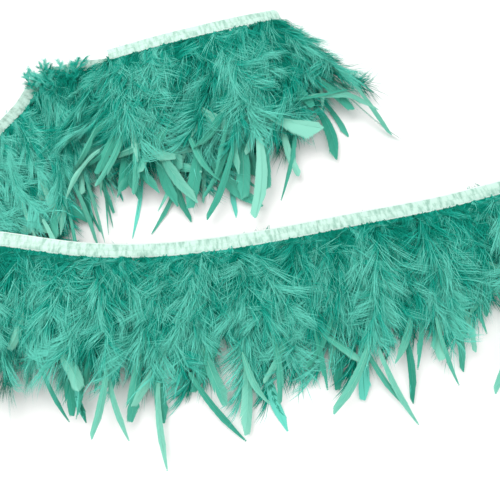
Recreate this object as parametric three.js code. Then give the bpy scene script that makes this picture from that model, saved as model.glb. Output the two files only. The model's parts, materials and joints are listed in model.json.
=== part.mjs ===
// Feather fringe trim: feathers stitched between two plies of narrow ribbon, one yard long.
// It lies on a table, folded twice: the top layer turns under at the right-hand fold, the back run
// goes out to the left beneath it, and the front run comes back over the back run's feather ends.
// Units are millimetres, +Z is up. The layout is drawn from a point of its own near the middle of the
// table, and the finished group is moved so that the origin is the middle of its underside.
import * as THREE from 'three';

// Tape: a satin ribbon and a backing ribbon with the feather quills held between them
const TAPE_WIDTH = 10;
const RIBBON_THICKNESS = 0.5;
const QUILL_THICKNESS = 0.8;
const CLEARANCE = 0.3;            // kept between pieces that touch in the real object
const QUILL_DEPTH = 7;            // how far the quill ends reach in between the ribbons
const THREAD_WIDTH = 0.5;
const THREAD_HEIGHT = 0.3;
const THREAD_LIFT = 0.1;          // the seam lies just clear of the satin
const BODY_GAP = 0.5;             // between the two halves of the tape at a hinge

// Feather tufts
const TUFT_PITCH = 22;            // tape length that one tuft covers
const TUFT_GAP = 0.8;             // between neighbouring tufts, measured along the tape
const TUFT_COLUMNS = 4;           // two pointed ends to a tuft
const NOTCH_DEPTH = 0.16;         // how far the notch between points reaches back, as a share of length
const TIP_SPREAD = 0.1;           // how much shorter the shortest tuft is
const TIP_TURN = 2.4;             // angle from one tuft to the next on the wave that sets their lengths

// Hinge lines across the tape, as shares of a run's route, 0 at its start and 1 at its end
const TOP_LAYER_HINGE = 2 / 3;
const FRONT_END_HINGE = 2 / 3;

// The front run climbs over the back run's feather ends at its left-hand end
const FRONT_LIFT = 12;
const FRONT_LIFT_FROM_X = -125;
const FRONT_LIFT_TO_X = -50;
const LIFT_FALL = 0.35;           // share of the lift lost between the tape and the feather ends

// Routes of the tape's centreline, each point with the place where its feathers end
const TOP_ROUTE = [
  { tape: [-104, 144, 23], ends: [-114, 24] },
  { tape: [-62, 158, 24], ends: [-56, 23] },
  { tape: [-12, 173, 24], ends: [16, 40] },
  { tape: [18, 184, 20], ends: [88, 92] },
];
const BACK_ROUTE = [
  { tape: [18, 184, 10], ends: [78, 82] },
  { tape: [-12, 173, 8], ends: [16, 36] },
  { tape: [-62, 158, 8], ends: [-48, 18] },
  { tape: [-107, 150, 7], ends: [-86, 15] },
  { tape: [-137, 146, 6], ends: [-96, 12] },
  { tape: [-160, 134, 6], ends: [-102, 6] },
  { tape: [-173, 109, 5], ends: [-110, -14] },
  { tape: [-198, 74, 5], ends: [-140, -42] },
  { tape: [-233, 31, 5], ends: [-184, -72] },
];
const FRONT_ROUTE = [
  { tape: [-230, 17, 17], ends: [-190, -92] },
  { tape: [-197, 4.5, 17], ends: [-172, -114] },
  { tape: [-164, 2, 16], ends: [-149, -129] },
  { tape: [-110, -4, 12], ends: [-106, -136] },
  { tape: [-60, -2, 6], ends: [-57, -126] },
  { tape: [0, 6, 5], ends: [6, -124] },
  { tape: [69, 20, 5], ends: [84, -116] },
  { tape: [132, 33, 5], ends: [150, -98] },
  { tape: [176, 45, 5], ends: [202, -86] },
  { tape: [195, 49, 5], ends: [226, -75] },
];
const LEFT_FOLD_ANGLE = 104;      // direction of the left-hand fold line on the table, in degrees

// Steps that each stretch of tape is swept in
const TOP_STEPS = 8;
const TURN_IN_STEPS = 4;          // from the top layer's hinge to the right-hand fold
const FOLD_STEPS = 10;            // over a fold, half of them on each side of a hinge
const BACK_STEPS = 30;
const FRONT_STEPS = 26;
const END_STEPS = 12;

// Section of each layer's tufts from the tape to the feather ends: share of length, underside, top
const TOP_SECTION = [
  { at: 0.12, under: 20, top: 28.5 },
  { at: 0.3, under: 15, top: 28.5 },
  { at: 0.55, under: 12.5, top: 22 },
  { at: 0.8, under: 10, top: 15 },
  { at: 1, under: 7, top: 9 },
];
const BACK_SECTION = [
  { at: 0.12, under: 1.5, top: 8 },
  { at: 0.3, under: 0, top: 8.5 },
  { at: 0.55, under: 0, top: 7.5 },
  { at: 0.8, under: 0, top: 5 },
  { at: 1, under: 0, top: 2 },
];
const FRONT_SECTION = [
  { at: 0.12, under: 1, top: 9 },
  { at: 0.3, under: 0, top: 12 },
  { at: 0.55, under: 0, top: 10 },
  { at: 0.8, under: 0, top: 6 },
  { at: 1, under: 0, top: 2.5 },
];

const UP = new THREE.Vector3(0, 0, 1);

const satin = new THREE.MeshStandardMaterial({ color: 0xdcf5ea, roughness: 0.35, metalness: 0 });
const backing = new THREE.MeshStandardMaterial({ color: 0xb9ddcf, roughness: 0.7, metalness: 0 });
const thread = new THREE.MeshStandardMaterial({ color: 0xa9d6c0, roughness: 0.6, metalness: 0 });
const feather = new THREE.MeshStandardMaterial({ color: 0x3fa58d, roughness: 0.85, metalness: 0 });

const layout = new THREE.Group();

function addPiece(name, geometry, material) {
  const mesh = new THREE.Mesh(geometry, material);
  mesh.name = name;
  layout.add(mesh);
}

// Moves every vertex of a box that spans -0.5 to 0.5 each way to the place that a function gives it
function shapeBox(box, place) {
  const vertices = box.attributes.position;
  const from = new THREE.Vector3();
  for (let i = 0; i < vertices.count; i++) {
    from.fromBufferAttribute(vertices, i).addScalar(0.5);
    const to = place(from.x, from.y, from.z);
    vertices.setXYZ(i, to.x, to.y, to.z);
  }
  box.computeVertexNormals();
  return box;
}

// A run of tape. side is -1 where the feathers hang to the right of the way it is laid, and 1 to the left
function makeRun(route, side, section, liftAt) {
  const tape = new THREE.CatmullRomCurve3(
    route.map((point) => new THREE.Vector3(...point.tape)), false, 'catmullrom', 0.5);
  const ends = new THREE.CatmullRomCurve3(
    route.map((point) => new THREE.Vector3(...point.ends, 0)), false, 'catmullrom', 0.5);
  return { tape, ends, side, section, liftAt };
}

// Where the tape is at a share of its run's length: its middle, its way, its feathers' way, its face
function station(run, share) {
  const t = run.tape.getUtoTmapping(share);
  const centre = run.tape.getPoint(t);
  const along = run.tape.getTangent(t);
  const hang = new THREE.Vector3(-along.y * run.side, along.x * run.side, 0).normalize();
  const face = new THREE.Vector3().crossVectors(hang, along).normalize();
  return { centre, along, hang, face, ends: run.ends.getPoint(t) };
}

function stationsAlong(run, from, to, count) {
  return Array.from({ length: count + 1 }, (_, i) => station(run, from + (to - from) * i / count));
}

// The tape rolls over a fold line from one level to another, through turns from 0 to a half turn
function stationsOverFold(entry, foldLine, rise, fromTurn, toTurn, count) {
  const outward = new THREE.Vector3().crossVectors(foldLine, UP);
  if (outward.dot(entry.along) < 0) {
    outward.negate();
  }
  const radius = Math.abs(rise) / 2;
  const slant = entry.along.dot(foldLine) / entry.along.dot(outward);
  const axis = new THREE.Vector3().crossVectors(outward, UP).multiplyScalar(Math.sign(rise));
  return Array.from({ length: count + 1 }, (_, i) => {
    const turn = fromTurn + (toTurn - fromTurn) * i / count;
    const centre = entry.centre.clone()
      .addScaledVector(outward, radius * Math.sin(turn))
      .addScaledVector(UP, Math.sign(rise) * radius * (1 - Math.cos(turn)))
      .addScaledVector(foldLine, slant * radius * turn);
    return {
      centre,
      along: entry.along.clone().applyAxisAngle(axis, turn),
      hang: entry.hang.clone().applyAxisAngle(axis, turn),
      face: entry.face.clone().applyAxisAngle(axis, turn),
    };
  });
}

// A strip that follows the stations, across from one side to the other and between two heights
function stripAlong(stations, across, height) {
  const steps = stations.length - 1;
  const box = new THREE.BoxGeometry(1, 1, 1, steps, 1, 1);
  return shapeBox(box, (x, y, z) => {
    const { centre, hang, face } = stations[Math.round(x * steps)];
    return centre.clone()
      .addScaledVector(hang, THREE.MathUtils.lerp(across[1], across[0], y))
      .addScaledVector(face, THREE.MathUtils.lerp(height[0], height[1], z));
  });
}

function addTape(name, stations) {
  const half = TAPE_WIDTH / 2;
  const inner = QUILL_THICKNESS / 2 + CLEARANCE;
  const outer = inner + RIBBON_THICKNESS;
  const seam = outer + THREAD_LIFT;
  addPiece(`satin_ribbon_${name}`, stripAlong(stations, [-half, half], [inner, outer]), satin);
  addPiece(`backing_ribbon_${name}`, stripAlong(stations, [-half, half], [-outer, -inner]), backing);
  addPiece(`seam_thread_${name}`,
    stripAlong(stations, [-THREAD_WIDTH / 2, THREAD_WIDTH / 2], [seam, seam + THREAD_HEIGHT]), thread);
}

// One tuft of feathers: flat quill ends between the ribbons, a full body, and pointed ends
function tuftShape(run, from, to, number) {
  const length = 1 - TIP_SPREAD * (0.5 + 0.5 * Math.sin(number * TIP_TURN));
  const rows = [{ at: 0, quill: QUILL_DEPTH }, { at: 0, quill: 0 }, ...run.section];
  const box = new THREE.BoxGeometry(1, 1, 1, TUFT_COLUMNS, rows.length - 1, 1);
  return shapeBox(box, (x, y, z) => {
    const share = run.side < 0 ? THREE.MathUtils.lerp(from, to, x) : THREE.MathUtils.lerp(to, from, x);
    const { centre, hang, ends } = station(run, share);
    const edge = centre.clone().addScaledVector(hang, TAPE_WIDTH / 2);
    const row = rows[Math.round((1 - y) * (rows.length - 1))];
    if (row.at === 0) {
      return edge.addScaledVector(hang, -row.quill)
        .addScaledVector(UP, QUILL_THICKNESS * (z - 0.5));
    }
    const column = Math.round(x * TUFT_COLUMNS);
    const notch = row.at === 1 && column % 2 === 0 ? NOTCH_DEPTH : 0;
    const reach = row.at * length - notch;
    const lift = run.liftAt(centre.x) * (1 - LIFT_FALL * reach);
    const place = new THREE.Vector3(ends.x, ends.y, 0).sub(edge).multiplyScalar(reach).add(edge);
    place.z = lift + THREE.MathUtils.lerp(row.under, row.top, z);
    return place;
  });
}

function addTufts(name, run, from, to) {
  const length = run.tape.getLength();
  const count = Math.round(length * (to - from) / TUFT_PITCH);
  const pitch = (to - from) / count;
  const gap = TUFT_GAP / length;
  for (let i = 0; i < count; i++) {
    const start = from + i * pitch + gap / 2;
    const geometry = tuftShape(run, start, start + pitch - gap, i + 1);
    addPiece(`feather_tuft_${name}_${String(i + 1).padStart(2, '0')}`, geometry, feather);
  }
}

const onTable = () => 0;
const overBackRun = (x) =>
  FRONT_LIFT * (1 - THREE.MathUtils.smoothstep(x, FRONT_LIFT_FROM_X, FRONT_LIFT_TO_X));

const topRun = makeRun(TOP_ROUTE, -1, TOP_SECTION, onTable);
const backRun = makeRun(BACK_ROUTE, 1, BACK_SECTION, onTable);
const frontRun = makeRun(FRONT_ROUTE, -1, FRONT_SECTION, overBackRun);

// Right-hand fold: the top layer turns straight under, down to the back run's level
const topEnd = station(topRun, 1);
const rightFoldRise = BACK_ROUTE[0].tape[2] - topEnd.centre.z;
const rightFold = stationsOverFold(topEnd, topEnd.hang, rightFoldRise, 0, Math.PI, FOLD_STEPS);

// Left-hand fold: the tape rolls slantwise up and over, and is in two halves at its outermost line
const backEnd = station(backRun, 1);
const foldAngle = THREE.MathUtils.degToRad(LEFT_FOLD_ANGLE);
const leftFoldLine = new THREE.Vector3(Math.cos(foldAngle), Math.sin(foldAngle), 0);
const leftFoldRise = FRONT_ROUTE[0].tape[2] - backEnd.centre.z;
const halfGap = BODY_GAP / leftFoldRise;
const foldLeft = (fromTurn, toTurn) =>
  stationsOverFold(backEnd, leftFoldLine, leftFoldRise, fromTurn, toTurn, FOLD_STEPS / 2);
const lowerHalf = foldLeft(0, Math.PI / 2 - halfGap);
const upperHalf = foldLeft(Math.PI / 2 + halfGap, Math.PI);

const topGap = BODY_GAP / 2 / topRun.tape.getLength();
const frontGap = BODY_GAP / 2 / frontRun.tape.getLength();

addTape('top', stationsAlong(topRun, 0, TOP_LAYER_HINGE - topGap, TOP_STEPS));
addTape('back', [
  ...stationsAlong(topRun, TOP_LAYER_HINGE + topGap, 1, TURN_IN_STEPS),
  ...rightFold.slice(1, -1),
  ...stationsAlong(backRun, 0, 1, BACK_STEPS),
  ...lowerHalf.slice(1),
]);
addTape('front', [
  ...upperHalf.slice(0, -1),
  ...stationsAlong(frontRun, 0, FRONT_END_HINGE - frontGap, FRONT_STEPS),
]);
addTape('end', stationsAlong(frontRun, FRONT_END_HINGE + frontGap, 1, END_STEPS));

addTufts('top', topRun, 0, TOP_LAYER_HINGE);
addTufts('fold', topRun, TOP_LAYER_HINGE, 1);
addTufts('back', backRun, 0, 1);
addTufts('front', frontRun, 0, FRONT_END_HINGE);
addTufts('end', frontRun, FRONT_END_HINGE, 1);

// The origin goes to the middle of the underside
const extent = new THREE.Box3().setFromObject(layout);
const middle = extent.getCenter(new THREE.Vector3());
layout.position.set(-middle.x, -middle.y, -extent.min.z);

const part = new THREE.Group();
part.add(layout);
export default part;
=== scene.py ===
"""Looks of a feather fringe trim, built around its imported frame.

The tape is a satin ribbon and a backing ribbon with feather quills sewn in between, one yard as built.
It lies on a table folded twice: the top layer turns under at the right-hand fold, the back run goes out
to the left beneath it, and the front run comes back over the back run's feather ends.
Lengths in the settings are in metres. The shapes are worked out in millimetres, and laid in metres.
"""
import json
import math

import bpy
import numpy as np
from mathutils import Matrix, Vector

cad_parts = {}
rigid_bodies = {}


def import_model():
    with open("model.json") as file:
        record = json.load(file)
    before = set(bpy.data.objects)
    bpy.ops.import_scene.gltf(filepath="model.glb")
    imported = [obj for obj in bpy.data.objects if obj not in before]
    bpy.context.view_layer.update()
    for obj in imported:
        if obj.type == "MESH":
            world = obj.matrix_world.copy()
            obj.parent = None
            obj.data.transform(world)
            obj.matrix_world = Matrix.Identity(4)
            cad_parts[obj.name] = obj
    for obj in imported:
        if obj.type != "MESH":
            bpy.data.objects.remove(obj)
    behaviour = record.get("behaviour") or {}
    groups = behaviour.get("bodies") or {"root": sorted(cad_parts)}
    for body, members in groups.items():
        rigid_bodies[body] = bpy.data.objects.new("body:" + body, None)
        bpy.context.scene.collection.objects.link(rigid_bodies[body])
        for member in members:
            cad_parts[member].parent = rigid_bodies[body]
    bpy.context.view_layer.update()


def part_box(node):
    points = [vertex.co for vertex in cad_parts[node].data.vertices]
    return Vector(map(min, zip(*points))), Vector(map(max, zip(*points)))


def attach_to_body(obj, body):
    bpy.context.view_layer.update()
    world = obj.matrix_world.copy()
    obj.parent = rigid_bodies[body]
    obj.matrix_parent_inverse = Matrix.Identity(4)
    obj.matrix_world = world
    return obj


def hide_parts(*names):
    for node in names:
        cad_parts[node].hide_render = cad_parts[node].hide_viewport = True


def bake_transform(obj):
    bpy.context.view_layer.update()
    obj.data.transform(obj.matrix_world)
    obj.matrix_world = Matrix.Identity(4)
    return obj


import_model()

bl_info = {
    "name": "Feather fringe trim",
    "version": (1, 0, 0),
    "blender": (4, 5, 0),
    "location": "View3D > Sidebar > Fringe",
    "description": "Ribbons, seam and feathers of a fringe trim, laid on its packed frame",
    "category": "Object",
}

MM = 0.001

# Routes of the tape's centreline with the place where the feathers end, in mm from the layout's own point
TOP_ROUTE = (
    ((-104, 144, 23), (-114, 24)),
    ((-62, 158, 24), (-56, 23)),
    ((-12, 173, 24), (16, 40)),
    ((18, 184, 20), (88, 92)),
)
BACK_ROUTE = (
    ((18, 184, 10), (78, 82)),
    ((-12, 173, 8), (16, 36)),
    ((-62, 158, 8), (-48, 18)),
    ((-107, 150, 7), (-86, 15)),
    ((-137, 146, 6), (-96, 12)),
    ((-160, 134, 6), (-102, 6)),
    ((-173, 109, 5), (-110, -14)),
    ((-198, 74, 5), (-140, -42)),
    ((-233, 31, 5), (-184, -72)),
)
FRONT_ROUTE = (
    ((-230, 17, 17), (-190, -92)),
    ((-197, 4.5, 17), (-172, -114)),
    ((-164, 2, 16), (-149, -129)),
    ((-110, -4, 12), (-106, -136)),
    ((-60, -2, 6), (-57, -126)),
    ((0, 6, 5), (6, -124)),
    ((69, 20, 5), (84, -116)),
    ((132, 33, 5), (150, -98)),
    ((176, 45, 5), (202, -86)),
    ((195, 49, 5), (226, -75)),
)
LEFT_FOLD_ANGLE = 104.0
TOP_LAYER_HINGE = 2 / 3
FRONT_END_HINGE = 2 / 3
FRONT_LIFT = 12.0
FRONT_LIFT_FROM_X = -125.0
FRONT_LIFT_TO_X = -50.0
LIFT_FALL = 0.35
THREAD_HALF_WIDTH = 0.25
TUFT_PITCH = 22.0
DROP = 128.0                      # a feather of this length ends where the route says

# Height of the surface that each layer's feathers lie on, at shares of the way to the feather ends
REACHES = (0.0, 0.12, 0.3, 0.55, 0.8, 1.0, 1.3)
TOP_UNDER = (20.0, 18.0, 14.5, 11.0, 8.0, 5.0, 3.0)
BACK_UNDER = (4.0, 1.0, 0.3, 0.3, 0.3, 0.3, 0.3)
FRONT_UNDER = (2.0, 0.5, 0.3, 0.3, 0.3, 0.3, 0.3)

# How the feathers lie, in mm
TAPE_HALF = 5.0
ROOT_LENGTH = 14.0                # the quills leave the tape level and settle within this distance
LOFT_LENGTH = 9.0                 # the down is at its full height within this distance
LOW = 0.2                         # feathers at rest lie at least this high over the table
FLOOR_ROOM = 1.4
CEILING_ROOM = 8.0
OVER_SATIN = 2.2                  # down laid over the satin starts this high over the tape's middle
OVER_ROOM = 5.0

# How far the feathers lean to the right of their route, in degrees, at distances along each run
TOP_LEAN = ((0, -4), (40, 0), (80, 0), (105, -2), (129, 0))
BACK_LEAN = ((0, -4), (14, -8), (40, -6), (70, 0), (110, 2), (160, 4), (270, 6), (313, 4))
FRONT_LEAN = ((0, 0), (385, 0), (415, -6), (434, -12))

# How much closer the feathers are set than elsewhere, where the tape turns and they fan out
TOP_CLOSER = ((0, 1.0), (80, 1.0), (100, 1.5), (129, 1.9))
BACK_CLOSER = ((0, 1.9), (30, 1.6), (55, 1.0), (313, 1.0))
FRONT_CLOSER = ((0, 1.0), (434, 1.0))


def linear(hex_colour):
    """Linear RGBA of an sRGB hex colour."""
    parts = [int(hex_colour[i:i + 2], 16) / 255 for i in (1, 3, 5)]
    return tuple(c / 12.92 if c <= 0.04045 else ((c + 0.055) / 1.055) ** 2.4 for c in parts) + (1.0,)


def colour_setting(name, description, hex_colour):
    return bpy.props.FloatVectorProperty(
        name=name, description=description, subtype="COLOR", size=4, min=0, max=1, default=linear(hex_colour))


def length_setting(name, description, default):
    return bpy.props.FloatProperty(
        name=name, description=description, subtype="DISTANCE", unit="LENGTH", min=0, default=default)


def rate_setting(name, description, default):
    return bpy.props.FloatProperty(name=name, description=description, min=0, default=default)


# ---------------------------------------------------------------- where the tape runs

def unit(vectors):
    return vectors / np.linalg.norm(vectors, axis=-1, keepdims=True)


def spline(points, t, slope=False):
    """Points, or ways along, of a smooth curve through points at equal steps of t from 0 to 1."""
    padded = np.vstack([2 * points[0] - points[1], points, 2 * points[-1] - points[-2]])
    spans = len(points) - 1
    i = np.minimum((t * spans).astype(int), spans - 1)
    w = (t * spans - i)[:, None]
    a, b, c, d = (padded[i + k] for k in range(4))
    square, cube = 2 * a - 5 * b + 4 * c - d, 3 * b - a - 3 * c + d
    if slope:
        return 0.5 * (c - a + 2 * w * square + 3 * w ** 2 * cube)
    return 0.5 * (2 * b + w * (c - a) + w ** 2 * square + w ** 3 * cube)


def lift_over_back_run(x):
    """How far the front run is raised where it crosses the back run's feathers."""
    share = np.clip((x - FRONT_LIFT_FROM_X) / (FRONT_LIFT_TO_X - FRONT_LIFT_FROM_X), 0, 1)
    return FRONT_LIFT * (1 - share * share * (3 - 2 * share))


class Run:
    """A run of tape: side is -1 where the feathers hang to the right of the way it is laid, 1 to the left."""

    def __init__(self, route, side, under, ceiling, lean, closer, loose, bladed=1.0,
                 longer=1.0, over=(0.0, 0.0), lift=None):
        self.tape = np.array([tape for tape, ends in route], float)
        self.ends = np.array([(*ends, 0) for tape, ends in route], float)
        self.side = side
        self.under = under
        self.ceiling = ceiling
        self.lean = np.array(lean, float)
        self.closer = np.array(closer, float)
        self.loose = loose
        self.bladed = bladed
        self.longer = longer
        self.over = over
        self.lift = lift or (lambda x: np.zeros_like(x))
        self.steps = np.linspace(0, 1, 2001)
        line = spline(self.tape, self.steps)
        self.lengths = np.concatenate([[0], np.cumsum(np.linalg.norm(np.diff(line, axis=0), axis=1))])
        self.length = self.lengths[-1]

    def at(self, distance):
        """Centre, way along, way the feathers hang, face and feather ends at distances in mm."""
        distance = np.asarray(distance, float)
        inside = np.clip(distance, 0, self.length)
        t = np.interp(inside, self.lengths, self.steps)
        along = unit(spline(self.tape, t, slope=True))
        hang = unit(np.stack([-along[:, 1] * self.side, along[:, 0] * self.side, 0 * t], axis=1))
        beyond = (distance - inside)[:, None] * along
        face = unit(np.cross(hang, along))
        return spline(self.tape, t) + beyond, along, hang, face, spline(self.ends, t) + beyond

    def lean_at(self, distance):
        """How far the feathers lean to the right there, in degrees."""
        return float(np.interp(distance, self.lean[:, 0], self.lean[:, 1]))

    def closer_at(self, distance):
        """How many times closer the feathers are set there."""
        return float(np.interp(distance, self.closer[:, 0], self.closer[:, 1]))

    def frames(self, start, stop, step):
        """Centre, hang and face at even steps along part of the run."""
        count = max(2, int(round((stop - start) / step)) + 1)
        centre, _, hang, face, _ = self.at(np.linspace(start, stop, count))
        return centre, hang, face


TOP = Run(TOP_ROUTE, -1, TOP_UNDER, 36.0, TOP_LEAN, TOP_CLOSER, loose=2.8, bladed=1.4,
          longer=1.04)
BACK = Run(BACK_ROUTE, 1, BACK_UNDER, 20.0, BACK_LEAN, BACK_CLOSER, loose=2.4, bladed=1.35,
           longer=1.04, over=(150.0, 200.0))
FRONT = Run(FRONT_ROUTE, -1, FRONT_UNDER, 30.0, FRONT_LEAN, FRONT_CLOSER, loose=0.4, lift=lift_over_back_run)
TOP_HINGE = TOP_LAYER_HINGE * TOP.length
FRONT_HINGE = FRONT_END_HINGE * FRONT.length


def over_fold(run, fold_line, rise, step):
    """Frames of the tape where it rolls over a fold line from a run's end to another level."""
    centre, along, hang, face, _ = (v[0] for v in run.at([run.length]))
    outward = np.cross(fold_line, (0, 0, 1))
    outward = outward * np.sign(outward @ along)
    radius = abs(rise) / 2
    slant = (along @ fold_line) / (along @ outward)
    axis = np.cross(outward, (0, 0, 1)) * np.sign(rise)
    turns = np.linspace(0, math.pi, int(math.pi * radius / step) + 1)[:, None]

    def turned(v):
        return (v * np.cos(turns) + np.cross(axis, v) * np.sin(turns)
                + axis * (axis @ v) * (1 - np.cos(turns)))

    centres = (centre + outward * radius * np.sin(turns) + fold_line * slant * radius * turns
               + np.array((0, 0, np.sign(rise) * radius)) * (1 - np.cos(turns)))
    return centres, turned(hang), turned(face)


def joined(*parts):
    """Frames of several stretches as one, leaving out the doubled first frame of each."""
    return tuple(np.vstack([part[i] if n == 0 else part[i][1:] for n, part in enumerate(parts)])
                 for i in range(3))


def right_fold(step):
    hang = TOP.at([TOP.length])[2][0]
    return over_fold(TOP, hang, BACK_ROUTE[0][0][2] - TOP_ROUTE[-1][0][2], step)


def left_fold(step):
    angle = math.radians(LEFT_FOLD_ANGLE)
    line = np.array((math.cos(angle), math.sin(angle), 0))
    return over_fold(BACK, line, FRONT_ROUTE[0][0][2] - BACK_ROUTE[-1][0][2], step)


def layout_point():
    """Where the layout's own point lies in the frame, from the seam's corner at the last cut end."""
    centre, _, hang, _, _ = (v[0] for v in FRONT.at([FRONT.length]))
    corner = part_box("seam_thread_end")[1]
    return np.array([corner[i] / MM - centre[i] - THREAD_HALF_WIDTH * abs(hang[i]) for i in (0, 1)] + [0.0])


LAYOUT = layout_point()


def framed(points):
    """Points of the layout, in mm, as points of the frame, in metres."""
    return (np.asarray(points) + LAYOUT) * MM


def lay(run, points, start):
    """Lays flat feathers, x along the tape from start, y down the feather and z up, on a run's layout."""
    x, y, z = points.T
    centre, _, hang, _, ends = run.at(start + x)
    edge = centre + hang * TAPE_HALF
    reach = np.clip(y, 0, None) / DROP
    way = ends - edge
    place = edge + way * reach[:, None] + hang * np.clip(y, None, 0)[:, None]
    under = np.interp(reach, REACHES, run.under) + run.lift(centre[:, 0]) * (1 - LIFT_FALL * reach)
    settled = smooth(y / ROOT_LENGTH)
    loft = smooth(y / LOFT_LENGTH) * np.interp(reach, (0, 0.75, 1.0, 1.3), (1.0, 1.0, 0.6, 0.5))
    height = (1 - settled) * centre[:, 2] + settled * under + loft * z
    place[:, 2] = height + eased(LOW + FLOOR_ROOM - height, FLOOR_ROOM) \
        - eased(height - run.ceiling + CEILING_ROOM, CEILING_ROOM)
    return place


def lay_over(run, points, start):
    """Lays flat feathers that point back up, so that their down lies over the satin."""
    x, y, z = points.T
    centre, _, hang, _, _ = run.at(start + x)
    place = centre + hang * (TAPE_HALF - y)[:, None]
    place[:, 2] = centre[:, 2] + OVER_SATIN + z - eased(z - OVER_ROOM, OVER_ROOM) + eased(-z, OVER_SATIN / 2)
    return place


def eased(excess, room):
    """What to take off a height that is over its limit by excess, so that it never uses up its room."""
    excess = np.clip(excess, 0, None)
    return excess - room * excess / (excess + room)


def smooth(share):
    share = np.clip(share, 0, 1)
    return share * share * (3 - 2 * share)


# ---------------------------------------------------------------- materials

FEATHER_MAP = "OFBake"
RIBBON_MAP = "ribbon"


def add_node(tree, kind, settings=None, links=None):
    """Adds a node, sets its attributes or input values by name, and links named inputs to outputs."""
    node = tree.nodes.new(kind)
    for key, value in (settings or {}).items():
        if isinstance(key, str) and hasattr(node, key):
            setattr(node, key, value)
        else:
            node.inputs[key].default_value = value
    for key, output in (links or {}).items():
        tree.links.new(output, node.inputs[key])
    return node


def new_material(name):
    material = bpy.data.materials.new(name)
    material.use_nodes = True
    material.node_tree.nodes.clear()
    return material, material.node_tree


def finish_material(tree, shader):
    output = add_node(tree, "ShaderNodeOutputMaterial")
    tree.links.new(shader.outputs[0], output.inputs["Surface"])


def ramp(tree, fac, stops):
    node = add_node(tree, "ShaderNodeValToRGB", links={"Fac": fac})
    elements = node.color_ramp.elements
    while len(elements) < len(stops):
        elements.new(1.0)
    for element, (position, colour) in zip(elements, stops):
        element.position = position
        element.color = colour
    return node


def feather_material(settings):
    """Acid-dyed turkey down and vane: matt and softly shining, with painted shade that deepens the down's
    barbs towards their roots and painted highlights that pale the vane barbs towards their outer ends.
    """
    material, tree = new_material("dyed turkey feather")
    uv = add_node(tree, "ShaderNodeUVMap", {"uv_map": FEATHER_MAP})
    parts = add_node(tree, "ShaderNodeSeparateXYZ", links={0: uv.outputs["UV"]})
    along, row = parts.outputs["X"], parts.outputs["Y"]
    # Painted shade: each barb of down is painted deeper at its root, deep in the down, and paler at its end.
    barb_painted_shade = add_node(tree, "ShaderNodeMath", {"operation": "MULTIPLY_ADD", 1: 0.3, 2: -0.12}, {0: along})
    down_sum = add_node(tree, "ShaderNodeMath", {"operation": "MULTIPLY_ADD", 1: 2.0},
                        {0: row, 2: barb_painted_shade.outputs[0]})
    down = ramp(tree, down_sum.outputs[0], (
        (0.0, settings.down_deep), (0.4, settings.down_middle), (0.85, settings.down_pale)))
    # Painted highlight: vane barbs are painted paler towards their outer ends, where curled edges catch the
    # light; the -1.1 moves the vane's half of the rows onto its ramp.
    vane_highlight_and_offset = add_node(tree, "ShaderNodeMath", {"operation": "MULTIPLY_ADD", 1: 0.25, 2: -1.1}, {0: along})
    vane_sum = add_node(tree, "ShaderNodeMath", {"operation": "MULTIPLY_ADD", 1: 2.0},
                        {0: row, 2: vane_highlight_and_offset.outputs[0]})
    vane = ramp(tree, vane_sum.outputs[0], (
        (0.0, settings.vane_deep), (0.45, settings.vane_middle), (0.9, settings.vane_pale)))
    is_vane = add_node(tree, "ShaderNodeMath", {"operation": "GREATER_THAN", 1: 0.5}, {0: row})
    colour = add_node(tree, "ShaderNodeMix", {"data_type": "RGBA"},
                      {0: is_vane.outputs[0], 6: down.outputs["Color"], 7: vane.outputs["Color"]})
    rough = add_node(tree, "ShaderNodeMapRange", {"To Min": 0.9, "To Max": 0.55},
                     {"Value": is_vane.outputs[0]})
    shader = add_node(tree, "ShaderNodeBsdfPrincipled", {
        "IOR": 1.4, "Sheen Weight": 0.02, "Sheen Roughness": 0.5, "Specular IOR Level": 0.08,
    }, {"Base Color": colour.outputs[2], "Roughness": rough.outputs[0]})
    finish_material(tree, shader)
    return material


def ribbon_material(name, face_colour, pucker_painted_shade, roughness, grain):
    """Woven polyester ribbon: fine lengthwise floats, with painted shade of the puckers as random crosswise
    blotches, paler at its edges.
    """
    material, tree = new_material(name)
    uv = add_node(tree, "ShaderNodeUVMap", {"uv_map": RIBBON_MAP})
    stretched = add_node(tree, "ShaderNodeMapping", links={"Vector": uv.outputs["UV"]})
    stretched.inputs["Scale"].default_value = (1.0, 0.35, 1.0)
    # Painted shade: random crosswise blotches of the shade colour stand in for the shade of the puckers.
    pucker_shade_noise = add_node(tree, "ShaderNodeTexNoise", {"Scale": 0.33, "Detail": 3.0, "Roughness": 0.6},
                      {"Vector": stretched.outputs[0]})
    painted_pucker_shade = ramp(tree, pucker_shade_noise.outputs["Fac"], (
        (0.36, pucker_painted_shade), (0.56, face_colour), (1.0, face_colour)))
    parts = add_node(tree, "ShaderNodeSeparateXYZ", links={0: uv.outputs["UV"]})
    edge = add_node(tree, "ShaderNodeMath", {"operation": "ABSOLUTE"}, {0: parts.outputs["Y"]})
    selvedge = add_node(tree, "ShaderNodeMapRange", {"From Min": 4.0, "From Max": 4.5, "To Max": 0.75},
                        {"Value": edge.outputs[0]})
    colour = add_node(tree, "ShaderNodeMix", {"data_type": "RGBA", 7: linear("#F4FFFA")},
                      {0: selvedge.outputs[0], 6: painted_pucker_shade.outputs["Color"]})
    floats = add_node(tree, "ShaderNodeMapping", links={"Vector": uv.outputs["UV"]})
    floats.inputs["Scale"].default_value = (0.6, 4.0, 1.0)
    weave = add_node(tree, "ShaderNodeTexNoise", {"Scale": 1.0, "Detail": 2.0}, {"Vector": floats.outputs[0]})
    bump = add_node(tree, "ShaderNodeBump", {"Strength": grain, "Distance": 0.0002},
                    {"Height": weave.outputs["Fac"]})
    shader = add_node(tree, "ShaderNodeBsdfPrincipled", {
        "Roughness": roughness, "IOR": 1.5, "Sheen Weight": 0.15, "Sheen Roughness": 0.4,
    }, {"Base Color": colour.outputs[2], "Normal": bump.outputs[0]})
    finish_material(tree, shader)
    return material


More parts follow.
